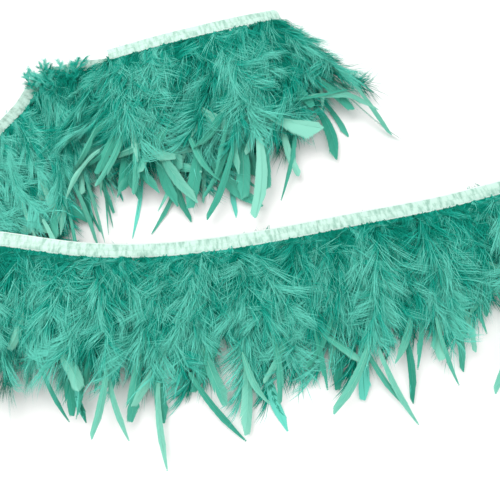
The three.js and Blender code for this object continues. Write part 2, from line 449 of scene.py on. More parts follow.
def thread_material(colour):
    """Spun polyester sewing thread: matt, with the twist as a fine slanted ribbing of painted shade in its
    grooves.
    """
    material, tree = new_material("spun sewing thread")
    coords = add_node(tree, "ShaderNodeTexCoord")
    twist = add_node(tree, "ShaderNodeTexWave", {"Scale": 1600.0, "Distortion": 1.0},
                     {"Vector": coords.outputs["Object"]})
    # Painted shade: the grooves of the twist are painted darker.
    groove_painted_shade = tuple(0.8 * c for c in colour[:3]) + (1.0,)
    tone = ramp(tree, twist.outputs["Fac"], ((0.0, groove_painted_shade), (1.0, colour)))
    shader = add_node(tree, "ShaderNodeBsdfPrincipled", {"Roughness": 0.7, "Sheen Weight": 0.2},
                      {"Base Color": tone.outputs["Color"]})
    finish_material(tree, shader)
    return material


# ---------------------------------------------------------------- meshes

def in_scene(name, data):
    """A new object that holds the data, linked to the scene."""
    thing = bpy.data.objects.new(name, data)
    bpy.context.scene.collection.objects.link(thing)
    return thing


def new_piece(name, vertices, faces, material=None, uv=None, map_name=RIBBON_MAP):
    mesh = bpy.data.meshes.new(name)
    mesh.from_pydata(vertices.tolist(), [], faces)
    if uv is not None:
        layer = mesh.uv_layers.new(name=map_name)
        corners = np.empty(len(mesh.loops), dtype=np.int32)
        mesh.loops.foreach_get("vertex_index", corners)
        layer.data.foreach_set("uv", np.asarray(uv)[corners].astype(np.float32).ravel())
    mesh.polygons.foreach_set("use_smooth", [True] * len(mesh.polygons))
    mesh.update()
    piece = in_scene(name, mesh)
    if material is not None:
        mesh.materials.append(material)
    return piece


# ---------------------------------------------------------------- ribbons

RIBBON_COLUMNS = 12
RIBBON_THICKNESS = 0.22
RIBBON_STEP = 0.7
BEND_HALF = 8.0                  # the tape bends over this distance on each side of a hinge


def creases(rng):
    """Puckers across the tape: where each one lies, its height, width, slant and side."""
    places = np.cumsum(rng.uniform(1.5, 6.5, 260))
    count = len(places)
    return {
        "place": places,
        "height": rng.uniform(-0.45, 0.45, count) * rng.uniform(0.3, 1.0, count),
        "width": rng.uniform(0.45, 1.3, count),
        "slant": rng.uniform(-0.35, 0.35, count),
        "side": rng.uniform(-4.0, 4.0, count),
        "spread": rng.uniform(2.5, 6.0, count),
    }


def pucker(distance, across, folds):
    """Height of the puckers at points of the tape, in mm."""
    total = np.zeros(np.broadcast(distance, across).shape)
    for i, place in enumerate(folds["place"]):
        offset = (distance - place - folds["slant"][i] * across) / folds["width"][i]
        fade = (across - folds["side"][i]) / folds["spread"][i]
        total += folds["height"][i] * np.exp(-offset ** 2 - fade ** 2)
    return total


def ribbon(name, frames, start, heights, step, material, folds, share):
    """A closed ribbon along the frames. heights gives its outer face over the quills at places across."""
    centre, hang, face = frames
    across = np.linspace(-TAPE_HALF, TAPE_HALF, RIBBON_COLUMNS + 1)
    lengths = start + np.concatenate([[0], np.cumsum(np.linalg.norm(np.diff(centre, axis=0), axis=1))])
    height = heights(across)[None, :] + share * pucker(lengths[:, None], across[None, :], folds)
    sign = 1 if step > 0 else -1
    outer = (centre[:, None] + hang[:, None] * across[None, :, None]
             + face[:, None] * (sign * height)[:, :, None])
    inner = outer - face[:, None] * sign * RIBBON_THICKNESS
    rows, columns = height.shape
    count = rows * columns
    vertices = np.vstack([outer.reshape(-1, 3), inner.reshape(-1, 3)])
    grid = np.arange(count).reshape(rows, columns)
    faces = []

    def quads(a, b, c, d):
        faces.extend(np.stack([a.ravel(), b.ravel(), c.ravel(), d.ravel()], axis=1).tolist())

    quads(grid[:-1, :-1], grid[1:, :-1], grid[1:, 1:], grid[:-1, 1:])
    below = grid + count
    quads(below[:-1, :-1], below[:-1, 1:], below[1:, 1:], below[1:, :-1])
    quads(grid[:-1, 0], below[:-1, 0], below[1:, 0], grid[1:, 0])
    quads(grid[:-1, -1], grid[1:, -1], below[1:, -1], below[:-1, -1])
    quads(grid[0, :-1], grid[0, 1:], below[0, 1:], below[0, :-1])
    quads(grid[-1, :-1], below[-1, :-1], below[-1, 1:], grid[-1, 1:])
    if sign < 0:
        faces = [face[::-1] for face in faces]
    uv = np.stack([np.repeat(lengths, columns), np.tile(across, rows)], axis=1)
    piece = new_piece(name, framed(vertices), faces, material, np.vstack([uv, uv]))
    return piece, lengths[-1]


def satin_heights(across):
    """The satin pinches in at its edges and under the seam, and stands proud over the quills."""
    body = 0.25 + 0.75 * (1 - (np.abs(across) / TAPE_HALF) ** 4)
    return body - 0.3 * np.exp(-(across / 0.7) ** 2)


def backing_heights(across):
    return 0.2 + 0.7 * (1 - (np.abs(across) / TAPE_HALF) ** 4)


def stretches():
    """Each stretch of tape in order: name, frames, and the body or the two bodies it bends between."""
    step = RIBBON_STEP
    return (
        ("top", TOP.frames(0, TOP_HINGE - BEND_HALF, step), "top_layer"),
        ("top_bend", TOP.frames(TOP_HINGE - BEND_HALF, TOP_HINGE + BEND_HALF, step),
         ("top_layer", "back_run")),
        ("back", joined(TOP.frames(TOP_HINGE + BEND_HALF, TOP.length, step), right_fold(step),
                        BACK.frames(0, BACK.length, step)), "back_run"),
        ("left_bend", left_fold(step), ("back_run", "front_run")),
        ("front", FRONT.frames(0, FRONT_HINGE - BEND_HALF, step), "front_run"),
        ("front_bend", FRONT.frames(FRONT_HINGE - BEND_HALF, FRONT_HINGE + BEND_HALF, step),
         ("front_run", "front_end")),
        ("end", FRONT.frames(FRONT_HINGE + BEND_HALF, FRONT.length, step), "front_end"),
    )


def attach(piece, bodies, frames, node):
    """A stretch rides on its body, whose CAD part is hidden; a stretch between two bodies only has its
    transform applied and rides on neither.
    """
    if isinstance(bodies, str):
        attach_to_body(piece, bodies)
        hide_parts(node)
    else:
        first, last = framed(frames[0][[0, -1]])
        if bodies[1] == "front_run":
            first = Vector((last[0], last[1], first[2]))
        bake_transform(piece)


# ---------------------------------------------------------------- feathers

# Rows of the feathers' map, which are tones: down has the lower half, flat ends have the upper half
ROW_WIDTH = 0.02
ROW_TOP = 0.94
SHAFT_ROW = 0.12
VANE_SHAFT_ROW = 0.3
# Painted shade and light: feathers are painted deeper where they lie low in their tuft and paler where they
# lie high, with no change at the height below
PAINTED_LIGHT_PER_MM = 0.055            # the outer barbs are paler than those deep in the down
PAINTED_LIGHT_ZERO_HEIGHT = 9.0

# How a feather is built, in mm and shares of its length
HOOK_FROM = 0.5
QUILL_DEPTH = 4.5
SHAFT_RADII = (0.3, 0.12)
VANE_SHAFT_RADII = (0.35, 0.12)
LOCK_PITCH = 5.5
LOCK_GATHER = 0.4                 # barbs draw this share of the way to the middle of their lock
BARB_NODES = 4
BARB_ROUGHNESS = 0.25             # each barb wanders by about this much
UNDER_TAPE = -3.0                 # down is cut off here, before a feather is bent and set on the tape
VANE_PITCH = 1.1                  # vane barbs are this many of their widths apart
VANE_NODES = 4
VANE_TILT = 0.2                   # each vane barb is turned by this angle, in radians, as slats are


class Strips:
    """Collects thin tapering strips and shafts of one straight feather, with a map of tones."""

    def __init__(self):
        self.vertices = []
        self.faces = []
        self.uv = []
        self.count = 0

    def add(self, spine, across, half_width, row):
        """spine and across are (strips, nodes, 3), half_width (strips, nodes) and row (strips)."""
        strips, nodes, _ = spine.shape
        side = across * half_width[:, :, None]
        pairs = np.stack([spine - side, spine + side], axis=2)[:, :-1].reshape(strips, -1, 3)
        block = np.concatenate([pairs, spine[:, -1:]], axis=1)
        size = block.shape[1]
        self.vertices.append(block.reshape(-1, 3))
        first = self.count + np.arange(strips)[:, None] * size
        for k in range(nodes - 2):
            self.faces.extend((first + np.array([2 * k, 2 * k + 1, 2 * k + 3, 2 * k + 2])).tolist())
        self.faces.extend((first + np.array([size - 3, size - 2, size - 1])).tolist())
        along = np.concatenate([np.repeat(np.linspace(0, 1, nodes)[:-1], 2), [1.0]])
        edge = np.concatenate([np.tile([0.0, ROW_WIDTH], nodes - 1), [ROW_WIDTH / 2]])
        uv = np.stack(np.broadcast_arrays(along[None, :], row[:, None] + edge[None, :]), axis=-1)
        self.uv.append(uv.reshape(-1, 2))
        self.count += strips * size

    def add_shaft(self, y, radius, row):
        """A four-sided shaft along y that tapers to a point at its last place."""
        nodes = len(y)
        centre = np.stack([0 * y, y, 0 * y], axis=1)
        corners = np.array([(-1, 0, 0), (0, 0, -1), (1, 0, 0), (0, 0, 1)])
        rings = centre[:-1, None] + corners[None] * radius[:-1, None, None]
        self.vertices.append(np.vstack([rings.reshape(-1, 3), centre[-1:]]))
        for k in range(nodes - 1):
            for i in range(4):
                a, b = self.count + 4 * k + i, self.count + 4 * k + (i + 1) % 4
                tip = self.count + 4 * (nodes - 1)
                self.faces.append([a, b, b + 4, a + 4] if k < nodes - 2 else [a, b, tip])
        u = np.concatenate([np.tile((0.2, 0.4, 0.6, 0.8), nodes - 1), [0.5]])
        v = row + ROW_WIDTH * (np.append(np.repeat(np.arange(nodes - 1), 4), nodes - 1) % 2)
        self.uv.append(np.stack([u, v], axis=1))
        self.count += 4 * (nodes - 1) + 1


def bent(kind, points):
    """Bends the points of a straight feather to its curved, arched, hooked and twisted shaft."""
    x, y, z = points.T
    length = kind["length"]
    inside = np.clip(y, 0, length)
    share = inside / length
    hook = np.clip((share - HOOK_FROM) / (1 - HOOK_FROM), 0, None)
    slope = (2 * kind["bend"] * share + 2 * kind["hook"] * hook / (1 - HOOK_FROM)) / length
    turn = np.arctan(slope)
    twist = kind["twist"] * hook
    beyond = y - inside
    off = x * np.cos(twist)
    return np.stack([
        kind["bend"] * share ** 2 + kind["hook"] * hook ** 2 + beyond * np.sin(turn) + off * np.cos(turn),
        inside + beyond * np.cos(turn) - off * np.sin(turn),
        kind["arch"] * np.sin(math.pi * share) + kind["curl"] * hook ** 2 + z + x * np.sin(twist),
    ], axis=1)


def paths(heading, rise, step):
    """Points along barbs that set off with the given headings and rises, in steps of the given lengths."""
    way = np.stack([np.sin(heading) * np.cos(rise), np.cos(heading) * np.cos(rise), np.sin(rise)], axis=-1)
    way = way * step[:, None, None]
    return np.cumsum(way, axis=1) - way[:, :1]


def down_barbs(strips, kind, rng, width):
    """Soft barbs in locks along the shaft: they spread, droop, and draw together at their ends."""
    count = kind["barbs"]
    y0 = np.sort(rng.uniform(kind["down"][0], kind["down"][1], count)) * kind["length"]
    side = np.where(rng.uniform(size=count) < 0.5, -1.0, 1.0)
    lock = (y0 // LOCK_PITCH).astype(int) * 2 + (side > 0)
    locks = lock.max() + 1
    turn = np.radians(rng.normal(0, kind["ruffle"], locks))[lock]
    curve = np.radians(rng.normal(0, 1.6 * kind["ruffle"], locks))[lock]
    rise = np.radians(rng.uniform(-10, 38, locks))[lock]
    roll = rng.normal(0, 0.35, locks)[lock] + rng.normal(0, 0.25, count)
    tone = rng.uniform(-0.5, 0.5, locks)[lock]
    share = y0 / kind["length"]
    size = kind["barb_length"] * np.interp(share, (0, 0.15, 0.5, 1), (0.75, 1.0, 0.95, 0.6))
    size = size * rng.uniform(0.7, 1.2, locks)[lock] * rng.uniform(0.65, 1.1, count)
    s = np.linspace(0, 1, BARB_NODES)[None, :]
    wide = np.radians(rng.normal(kind["spread"], 10, count))[:, None]
    close = np.radians(rng.normal(12, 9, count))[:, None]
    heading = side[:, None] * (close + (wide - close) * (1 - s) ** 1.3) + turn[:, None] + curve[:, None] * s
    lifts = rise[:, None] * (1 - 1.5 * s) + rng.normal(0, 0.16, count)[:, None]
    spine = paths(heading, lifts, size / (BARB_NODES - 1))
    spine[:, :, 1] += y0[:, None] + ((lock // 2 + 0.5) * LOCK_PITCH - y0)[:, None] * LOCK_GATHER * s ** 2
    spine[:, 1:] += rng.normal(0, BARB_ROUGHNESS, (count, BARB_NODES - 1, 3))
    spine[:, :, 1] = np.maximum(spine[:, :, 1], UNDER_TAPE)
    across = np.stack([np.cos(heading), -np.sin(heading), 0 * heading], axis=-1) * np.cos(roll)[:, None, None]
    across[:, :, 2] += np.sin(roll)[:, None]
    half = width / 2 * np.interp(s, (0, 0.5, 1), (1.0, 0.85, 0.5)) * np.ones((count, 1))
    # Painted shade: barbs near the tape, where the down lies thickest, get deeper rows than those further
    # down the feather; the lock tone and the rest vary at random.
    row = 0.36 + 0.34 * (share - 0.5) + 0.7 * tone + 0.26 * rng.uniform(-0.5, 0.5, count) + kind["tone"]
    strips.add(spine, across, half, np.clip(row, 0.0, ROW_TOP) / 2)


def vane_barbs(strips, kind, rng, width):
    """Firm barbs side by side as the feather's flat part. points says how each side is cut to its tip."""
    start, length = kind["vane_from"] * kind["length"], kind["length"]
    count = max(8, int((length - start) / (VANE_PITCH * width)))
    y0 = np.linspace(start, length - 0.4, count)
    q = (y0 - start) / (length - start)
    s = np.linspace(0, 1, VANE_NODES)[None, :]
    split = np.cumsum(rng.uniform(size=count) < 0.05)
    for side, point in zip((-1, 1), kind["points"]):
        angle = np.radians(np.interp(q, (0, 1), (36, 22)))
        lean = rng.normal(0, 0.05, split.max() + 1)[split]
        full = kind["vane_width"] * np.interp(q, (0, 0.35, 0.7, 1), (0.45, 0.95, 1.0, 0.9)) / np.sin(angle)
        reach = (length - y0) / (np.cos(angle) + point * np.sin(angle))
        size = np.minimum(full, reach) * rng.uniform(0.94, 1.03, count) + 0.5
        heading = side * (angle[:, None] * (1 - 0.25 * s) + lean[:, None])
        spine = paths(heading, -0.1 - 0.12 * s + 0 * heading, size / (VANE_NODES - 1))
        spine[:, :, 1] += y0[:, None]
        flat = math.cos(VANE_TILT)
        across = np.stack([np.cos(heading) * flat, -np.sin(heading) * flat,
                           math.sin(VANE_TILT) + 0 * heading], axis=-1)
        half = width / 2 * np.interp(s, (0, 0.7, 1), (1, 1, 0.6)) * np.ones((count, 1))
        tone = 0.35 + 0.3 * (q - 0.5) + 0.12 * rng.uniform(0, 1, split.max() + 1)[split] \
            + 0.1 * rng.uniform(0, 1, count) + kind["tone"]
        strips.add(spine, across, half, 0.5 + np.clip(tone, 0.0, ROW_TOP) / 2)


# Feathers of each family: length, where its vane starts, half width of the vane, and the cut of its two sides
BLADED = (
    (122, 0.6, 3.2, (4.0, 2.0)), (110, 0.64, 4.2, (0.2, 1.8)), (132, 0.64, 2.2, (7.0, 6.0)),
    (116, 0.65, 3.7, (2.0, 0.3)), (104, 0.62, 1.8, (8.0, 8.0)), (127, 0.66, 3.0, (1.0, 4.0)),
    (112, 0.6, 2.4, (0.8, 0.8)), (98, 0.6, 3.5, (0.4, 1.0)),
)
DOWNY = ((58, 1, 0, ()), (66, 1, 0, ()), (74, 1, 0, ()), (82, 1, 0, ()), (90, 1, 0, ()), (70, 1, 0, ()))
CURLS = ((34, 1, 0, ()), (42, 1, 0, ()), (50, 1, 0, ()), (38, 1, 0, ()))
LOOSE = (
    (36, 0.12, 4.2, (0.1, 1.6)), (44, 0.15, 3.4, (3.0, 4.0)), (30, 0.1, 4.7, (1.4, 0.0)),
    (42, 0.15, 2.4, (6.0, 5.0)), (33, 0.12, 4.5, (0.5, 0.3)), (38, 0.12, 3.8, (0.0, 2.6)),
)
FAMILIES = {
    "bladed": (BLADED, {"barbs": 480, "down": (-0.02, 0.6), "barb_length": 25.0, "ruffle": 12.0, "hook": 19.0,
                        "spread": 40.0}),
    "downy": (DOWNY, {"barbs": 700, "down": (-0.04, 0.96), "barb_length": 28.0, "ruffle": 13.0, "hook": 12.0,
                      "spread": 38.0}),
    "curls": (CURLS, {"barbs": 320, "down": (-0.06, 0.96), "barb_length": 18.0, "ruffle": 24.0, "hook": 8.0,
                      "spread": 72.0}),
    "loose": (LOOSE, {"barbs": 0, "down": (0.0, 0.0), "hook": 7.0, "twist": 0.7}),
}


def feather_families(settings, material):
    """Every kind of feather, as a collection for each family that the tree picks from."""
    rng = np.random.default_rng(settings.seed)
    families = {}
    for family, (shapes, habits) in FAMILIES.items():
        collection = bpy.data.collections.new(family)
        families[family] = collection
        for number, (length, vane_from, vane_width, points) in enumerate(shapes):
            kind = {"length": length, "vane_from": vane_from, "vane_width": vane_width, "points": points,
                    "spread": 50.0, "twist": 0.6, "barb_length": 0.0, "ruffle": 0.0, **habits}
            kind["bend"] = rng.uniform(-0.16, 0.16) * length
            kind["hook"] *= rng.uniform(-1, 1)
            kind["twist"] *= rng.uniform(-1, 1)
            kind["arch"] = rng.uniform(0.0, 0.05) * length
            kind["curl"] = rng.uniform(-1.0, 4.0)
            kind["tone"] = rng.uniform(-0.06, 0.06)
            strips = Strips()
            split = vane_from * length
            y = np.linspace(-QUILL_DEPTH, split, 13)
            strips.add_shaft(y, np.interp(y, (-QUILL_DEPTH, length), SHAFT_RADII), SHAFT_ROW)
            if kind["barbs"]:
                down_barbs(strips, kind, rng, settings.barb_width / MM)
            if vane_width:
                y = np.linspace(split - 1, length, 7)
                strips.add_shaft(y, np.interp(y, (0, length), VANE_SHAFT_RADII), 0.5 + VANE_SHAFT_ROW)
                vane_barbs(strips, kind, rng, settings.vane_barb_width / MM)
            feather = new_piece(f"{family} {number}", bent(kind, np.vstack(strips.vertices)), strips.faces,
                                material, np.vstack(strips.uv), FEATHER_MAP)
            bpy.context.scene.collection.objects.unlink(feather)
            collection.objects.link(feather)
    return families


def new_tree(name, things, whole_numbers, numbers):
    """A Geometry Nodes tree with a geometry output and named inputs, and what its inputs give."""
    tree = bpy.data.node_groups.new(name, "GeometryNodeTree")
    tree.is_modifier = True
    tree.interface.new_socket("Geometry", in_out="OUTPUT", socket_type="NodeSocketGeometry")
    for thing, kind in things:
        tree.interface.new_socket(thing, in_out="INPUT", socket_type=f"NodeSocket{kind}")
    for kind, defaults in (("Int", whole_numbers), ("Float", numbers)):
        for number, default in defaults:
            item = tree.interface.new_socket(number, in_out="INPUT", socket_type=f"NodeSocket{kind}")
            item.default_value = default
    return tree, tree.nodes.new("NodeGroupInput").outputs


def finish_tree(tree, instances, material):
    """Ends a tree: its instances become real geometry and get their material."""
    real = add_node(tree, "GeometryNodeRealizeInstances", links={"Geometry": instances})
    finished = add_node(tree, "GeometryNodeSetMaterial", links={
        "Geometry": real.outputs[0], "Material": material})
    result = add_node(tree, "NodeGroupOutput")
    tree.links.new(finished.outputs[0], result.inputs[0])


def tuft_tree():
    """Geometry Nodes that set feathers along a stretch of tape: even places, jittered, turned and sized."""
    tree, given = new_tree("feathers along tape", (("Feathers", "Collection"), ("Material", "Material")), (
        ("Count", 6), ("Seed", 0)), (
        ("Spacing", 3.0), ("Scatter", 2.0), ("Nearest", -1.5), ("Farthest", 1.5), ("Lowest", 0.0),
        ("Highest", 6.0), ("Lean", 0.0), ("Sway", 0.2), ("Roll", 0.3), ("Smallest", 0.85), ("Largest", 1.1),
        ("Narrow", 1.0), ("Shading", 0.1)))
    offsets = iter(range(1, 20))

    def random(low, high, kind="FLOAT"):
        seed = add_node(tree, "ShaderNodeMath", {1: float(next(offsets))}, {0: given["Seed"]})
        node = add_node(tree, "FunctionNodeRandomValue", {"data_type": kind})
        tree.links.new(seed.outputs[0], node.inputs["Seed"])
        limits = [i for i in node.inputs if i.enabled and i.name in ("Min", "Max")]
        for target, value in zip(limits, (low, high)):
            if isinstance(value, (int, float)):
                target.default_value = value
            else:
                tree.links.new(value, target)
        return next(o for o in node.outputs if o.enabled)

    def either_way(value):
        back = add_node(tree, "ShaderNodeMath", {"operation": "MULTIPLY", 1: -1.0}, {0: value})
        return random(back.outputs[0], value)

    gap = add_node(tree, "ShaderNodeCombineXYZ", links={"X": given["Spacing"]})
    line = add_node(tree, "GeometryNodeMeshLine", links={"Count": given["Count"], "Offset": gap.outputs[0]})
    jitter = add_node(tree, "ShaderNodeCombineXYZ", links={
        "X": either_way(given["Scatter"]), "Y": random(given["Nearest"], given["Farthest"]),
        "Z": random(given["Lowest"], given["Highest"])})
    placed = add_node(tree, "GeometryNodeSetPosition", links={
        "Geometry": line.outputs[0], "Offset": jitter.outputs[0]})
    source = add_node(tree, "GeometryNodeCollectionInfo", {"Separate Children": True, "Reset Children": True},
                      {"Collection": given["Feathers"]})
    heading = add_node(tree, "ShaderNodeMath", links={0: given["Lean"], 1: either_way(given["Sway"])})
    turn = add_node(tree, "ShaderNodeCombineXYZ", links={
        "X": random(-0.03, 0.03), "Y": either_way(given["Roll"]), "Z": heading.outputs[0]})
    picked = random(0, 999, "INT")
    size = random(given["Smallest"], given["Largest"])
    width = add_node(tree, "ShaderNodeMath", {"operation": "MULTIPLY"}, {0: size, 1: given["Narrow"]})
    sizes = add_node(tree, "ShaderNodeCombineXYZ", links={"X": width.outputs[0], "Y": size, "Z": size})
    set_on = add_node(tree, "GeometryNodeInstanceOnPoints", {"Pick Instance": True}, {
        "Points": placed.outputs[0], "Instance": source.outputs[0], "Instance Index": picked,
        "Rotation": turn.outputs[0], "Scale": sizes.outputs[0]})
    shaded = add_node(tree, "GeometryNodeStoreNamedAttribute", {
        "data_type": "FLOAT", "domain": "INSTANCE", "Name": "shade"},
        {"Geometry": set_on.outputs[0], "Value": either_way(given["Shading"])})
    finish_tree(tree, shaded.outputs[0], given["Material"])
    return tree


def run_tree(tree, values, base=None):
    """The plain mesh that a tree gives from a base mesh, with its named inputs set to values."""
    carrier = in_scene("carrier", base or bpy.data.meshes.new("carrier"))
    modifier = carrier.modifiers.new("nodes", "NODES")
    modifier.node_group = tree
    for item in tree.interface.items_tree:
        if item.item_type == "SOCKET" and item.in_out == "INPUT" and item.name in values:
            modifier[item.identifier] = values[item.name]
    carrier.update_tag()
    evaluated = carrier.evaluated_get(bpy.context.evaluated_depsgraph_get())
    mesh = bpy.data.meshes.new_from_object(evaluated)
    bpy.data.objects.remove(carrier)
    return mesh


def mesh_points(mesh):
    points = np.empty(len(mesh.vertices) * 3)
    mesh.vertices.foreach_get("co", points)
    return points.reshape(-1, 3)


def shade_feathers(mesh):
    """Moves each feather's map rows by its own random shade, and by painted shade and light that deepens
    points low in the tuft and pales high ones, within the down's half or the vane's half.
    """
    shade = np.empty(len(mesh.vertices), dtype=np.float32)
    mesh.attributes["shade"].data.foreach_get("value", shade)
    corners = np.empty(len(mesh.loops), dtype=np.int32)
    mesh.loops.foreach_get("vertex_index", corners)
    layer = mesh.uv_layers[FEATHER_MAP]
    uv = np.empty(len(corners) * 2, dtype=np.float32)
    layer.data.foreach_get("uv", uv)
    uv = uv.reshape(-1, 2)
    low = np.where(uv[:, 1] < 0.5, 0.0, 0.5)
    height = mesh_points(mesh)[corners, 2]
    # Random shade of the feather, plus painted shade and light from the point's height
    shade_and_painted_light = shade[corners] + PAINTED_LIGHT_PER_MM * (height - PAINTED_LIGHT_ZERO_HEIGHT)
    face_row = np.clip(uv[:, 1] - low + shade_and_painted_light / 2, 0.0, ROW_TOP / 2 + ROW_WIDTH)
    uv[:, 1] = low + face_row
    layer.data.foreach_set("uv", uv.ravel())
    mesh.attributes.remove(mesh.attributes["shade"])


# What each layer of a tuft is made of: its family and the tree's inputs. The last one points back up, and
# lies over the satin where a run has such down
LAYERS = (
    ("bladed", {"Lowest": 1.0, "Highest": 10.0, "Sway": 0.36, "Roll": 0.35, "Smallest": 0.76,
                "Largest": 1.08}),
    ("downy", {"Lowest": 1.0, "Highest": 8.0, "Sway": 0.42, "Roll": 0.45, "Smallest": 0.85, "Largest": 1.15}),
    ("curls", {"Lowest": 3.0, "Highest": 8.0, "Sway": 0.95, "Roll": 0.5, "Smallest": 0.8, "Largest": 1.2}),
    ("loose", {"Lowest": 7.0, "Highest": 12.0, "Sway": 1.1, "Roll": 0.5, "Smallest": 0.8, "Largest": 1.15,
               "Nearest": 35.0, "Farthest": 76.0}),
    ("curls", {"Lowest": 3.0, "Highest": 7.0, "Sway": 1.2, "Roll": 0.4, "Smallest": 0.42, "Largest": 0.58,
               "Nearest": -15.0, "Farthest": -8.0}),
)
FEATHER_SCATTER = 3.0
FEATHER_SHADING = 0.42
OVER_RATE = 11.0                  # curls over the satin in each 22 mm of tape
FAN_GROWTH = 0.1                  # the down reaches this much further for each time closer it is set


def tuft(name, tree, families, run, start, pitch, settings, seed, material):
    """One tuft: bladed, downy, curled and loose feathers, and curls over the satin where the run has them."""
    rng = np.random.default_rng(seed)
    lean = math.radians(run.lean_at(start + pitch / 2)) * run.side
    closer = run.closer_at(start + pitch / 2)
    over = OVER_RATE if run.over[0] < start + pitch / 2 < run.over[1] else 0.0
    rates = (settings.bladed * run.bladed * closer, settings.downy * closer, settings.curls, run.loose, over)
    sizes = (run.longer, run.longer * (1 + FAN_GROWTH * (closer - 1)), 1.0, 1.0, 1.0)
    objects = []
    for layer, (family, habits) in enumerate(LAYERS):
        count = int(rates[layer] * pitch / TUFT_PITCH + rng.uniform())
        upward = layer == len(LAYERS) - 1
        if not count or not rates[layer]:
            continue
        mesh = run_tree(tree, {
            "Feathers": families[family], "Count": count, "Spacing": pitch / count,
            "Scatter": FEATHER_SCATTER, "Lean": lean, "Narrow": 1 / closer, "Shading": FEATHER_SHADING,
            "Seed": 40 * seed + 10 * layer, "Material": material, **habits,
            "Smallest": habits["Smallest"] * sizes[layer], "Largest": habits["Largest"] * sizes[layer]})
        shade_feathers(mesh)
        place = lay_over if upward else lay
        mesh.vertices.foreach_set("co", framed(place(run, mesh_points(mesh), start)).ravel())
        if (run.side > 0) != upward:
            mesh.flip_normals()
        mesh.update()
        objects.append(in_scene(name, mesh))
    with bpy.context.temp_override(active_object=objects[0], selected_editable_objects=objects):
        bpy.ops.object.join()
    objects[0].name = name
    return objects[0]


# ---------------------------------------------------------------- seam

SEAM_HEIGHT = 0.8


def stitch_tree():
    """Geometry Nodes that set stitches at an even pitch along the lines of a mesh."""
    tree, given = new_tree("stitches along seam", (("Seam", "Geometry"), ("Material", "Material")), (), (
        ("Pitch", 0.0025), ("Length", 0.0018), ("Thickness", 0.00035)))
    curve = add_node(tree, "GeometryNodeMeshToCurve", links={0: given["Seam"]})
    places = add_node(tree, "GeometryNodeResampleCurve", {"mode": "LENGTH"},
                      {"Curve": curve.outputs[0], "Length": given["Pitch"]})
    tangent = add_node(tree, "GeometryNodeInputTangent")
    facing = add_node(tree, "FunctionNodeAlignRotationToVector", {"axis": "X"},
                      {"Vector": tangent.outputs[0]})
    stitch = add_node(tree, "GeometryNodeMeshUVSphere", {"Segments": 6, "Rings": 5, "Radius": 0.5})
    size = add_node(tree, "ShaderNodeCombineXYZ", links={
        "X": given["Length"], "Y": given["Thickness"], "Z": given["Thickness"]})
    set_on = add_node(tree, "GeometryNodeInstanceOnPoints", links={
        "Points": places.outputs[0], "Instance": stitch.outputs[0], "Rotation": facing.outputs[0],
        "Scale": size.outputs[0]})
    finish_tree(tree, set_on.outputs[0], given["Material"])
    return tree


def seam_lines(frames):
    """The seam's two lines along the frames, one on each ribbon, as a mesh of edges."""
    centre, _, face = frames
    points, edges = [], []
    for height in (SEAM_HEIGHT, -SEAM_HEIGHT):
        first = sum(len(p) for p in points)
        points.append(framed(centre + face * height))
        edges += [(first + i, first + i + 1) for i in range(len(centre) - 1)]
    mesh = bpy.data.meshes.new("seam")
    mesh.from_pydata(np.vstack(points).tolist(), edges, [])
    return mesh


# ---------------------------------------------------------------- settings, operators and panel

CAMERA_ELEVATION = 70.0
CAMERA_DISTANCE = 0.366
CAMERA_LENS = 38.6
TABLE_SIZE = 4.0

# Soft lights: name, place, size, and share of the key light's power
LIGHTS = (
    ("key light", (-0.5, 0.35, 1.1), 0.9, 1.0),
    ("fill light", (0.6, -0.5, 1.0), 1.2, 0.35),
)


class FringeSettings(bpy.types.PropertyGroup):
    seed: bpy.props.IntProperty(name="Seed", description="Fixes everything that is random", default=7)
    bladed: rate_setting("Bladed feathers", "Long feathers with flat ends in each 22 mm of tape", 3.0)
    downy: rate_setting("Downy feathers", "Soft feathers in each 22 mm of tape", 5.7)
    curls: rate_setting("Curled feathers", "Short curled down in each 22 mm of tape", 4.0)
    barb_width: length_setting("Barb width", "Width of a barb of down, drawn coarse enough to show", 0.00034)
    vane_barb_width: length_setting("Vane barb width", "Width of a barb in a feather's flat end", 0.0010)
    stitch_pitch: length_setting("Stitch pitch", "Distance from one stitch of the seam to the next", 0.0025)
    stitch_length: length_setting("Stitch length", "Length of thread that shows in each stitch", 0.0018)
    thread_width: length_setting("Thread width", "Thickness of the sewing thread", 0.0004)
    satin: colour_setting("Satin", "Face of the ribbon", "#C3E3D6")
    # Painted shade: the satin's and backing's shade colours are blotches that stand in for the shade of their
    # puckers.
    satin_painted_shade: colour_setting("Satin shade", "Mottling of the ribbon's face", "#93BDAC")
    backing: colour_setting("Backing", "Other side of the tape", "#B4D2C6")
    backing_painted_shade: colour_setting("Backing shade", "Mottling of the other side", "#88A99B")
    thread: colour_setting("Thread", "Sewing thread", "#CDEBDD")
    # The deep and pale ends of these ramps also show painted shade and painted highlights: deep at barb
    # roots, near the tape and low in a tuft, pale on barb ends and high barbs.
    down_deep: colour_setting("Deep down", "Down near the tape", "#007F6A")
    down_middle: colour_setting("Middle down", "Most of the down", "#1CA994")
    down_pale: colour_setting("Pale down", "Down at the ends", "#68D0BD")
    vane_deep: colour_setting("Deep vane", "Flat ends near the down", "#2C917B")
    vane_middle: colour_setting("Middle vane", "Most of the flat ends", "#4FAE97")
    vane_pale: colour_setting("Pale vane", "Palest flat ends", "#86CFBA")
    key_power: bpy.props.FloatProperty(
        name="Key light", description="Power of the large soft light", subtype="POWER", unit="POWER",
        default=8.5)
    room_light: bpy.props.FloatProperty(
        name="Room light", description="Brightness of the white surroundings", default=0.88)


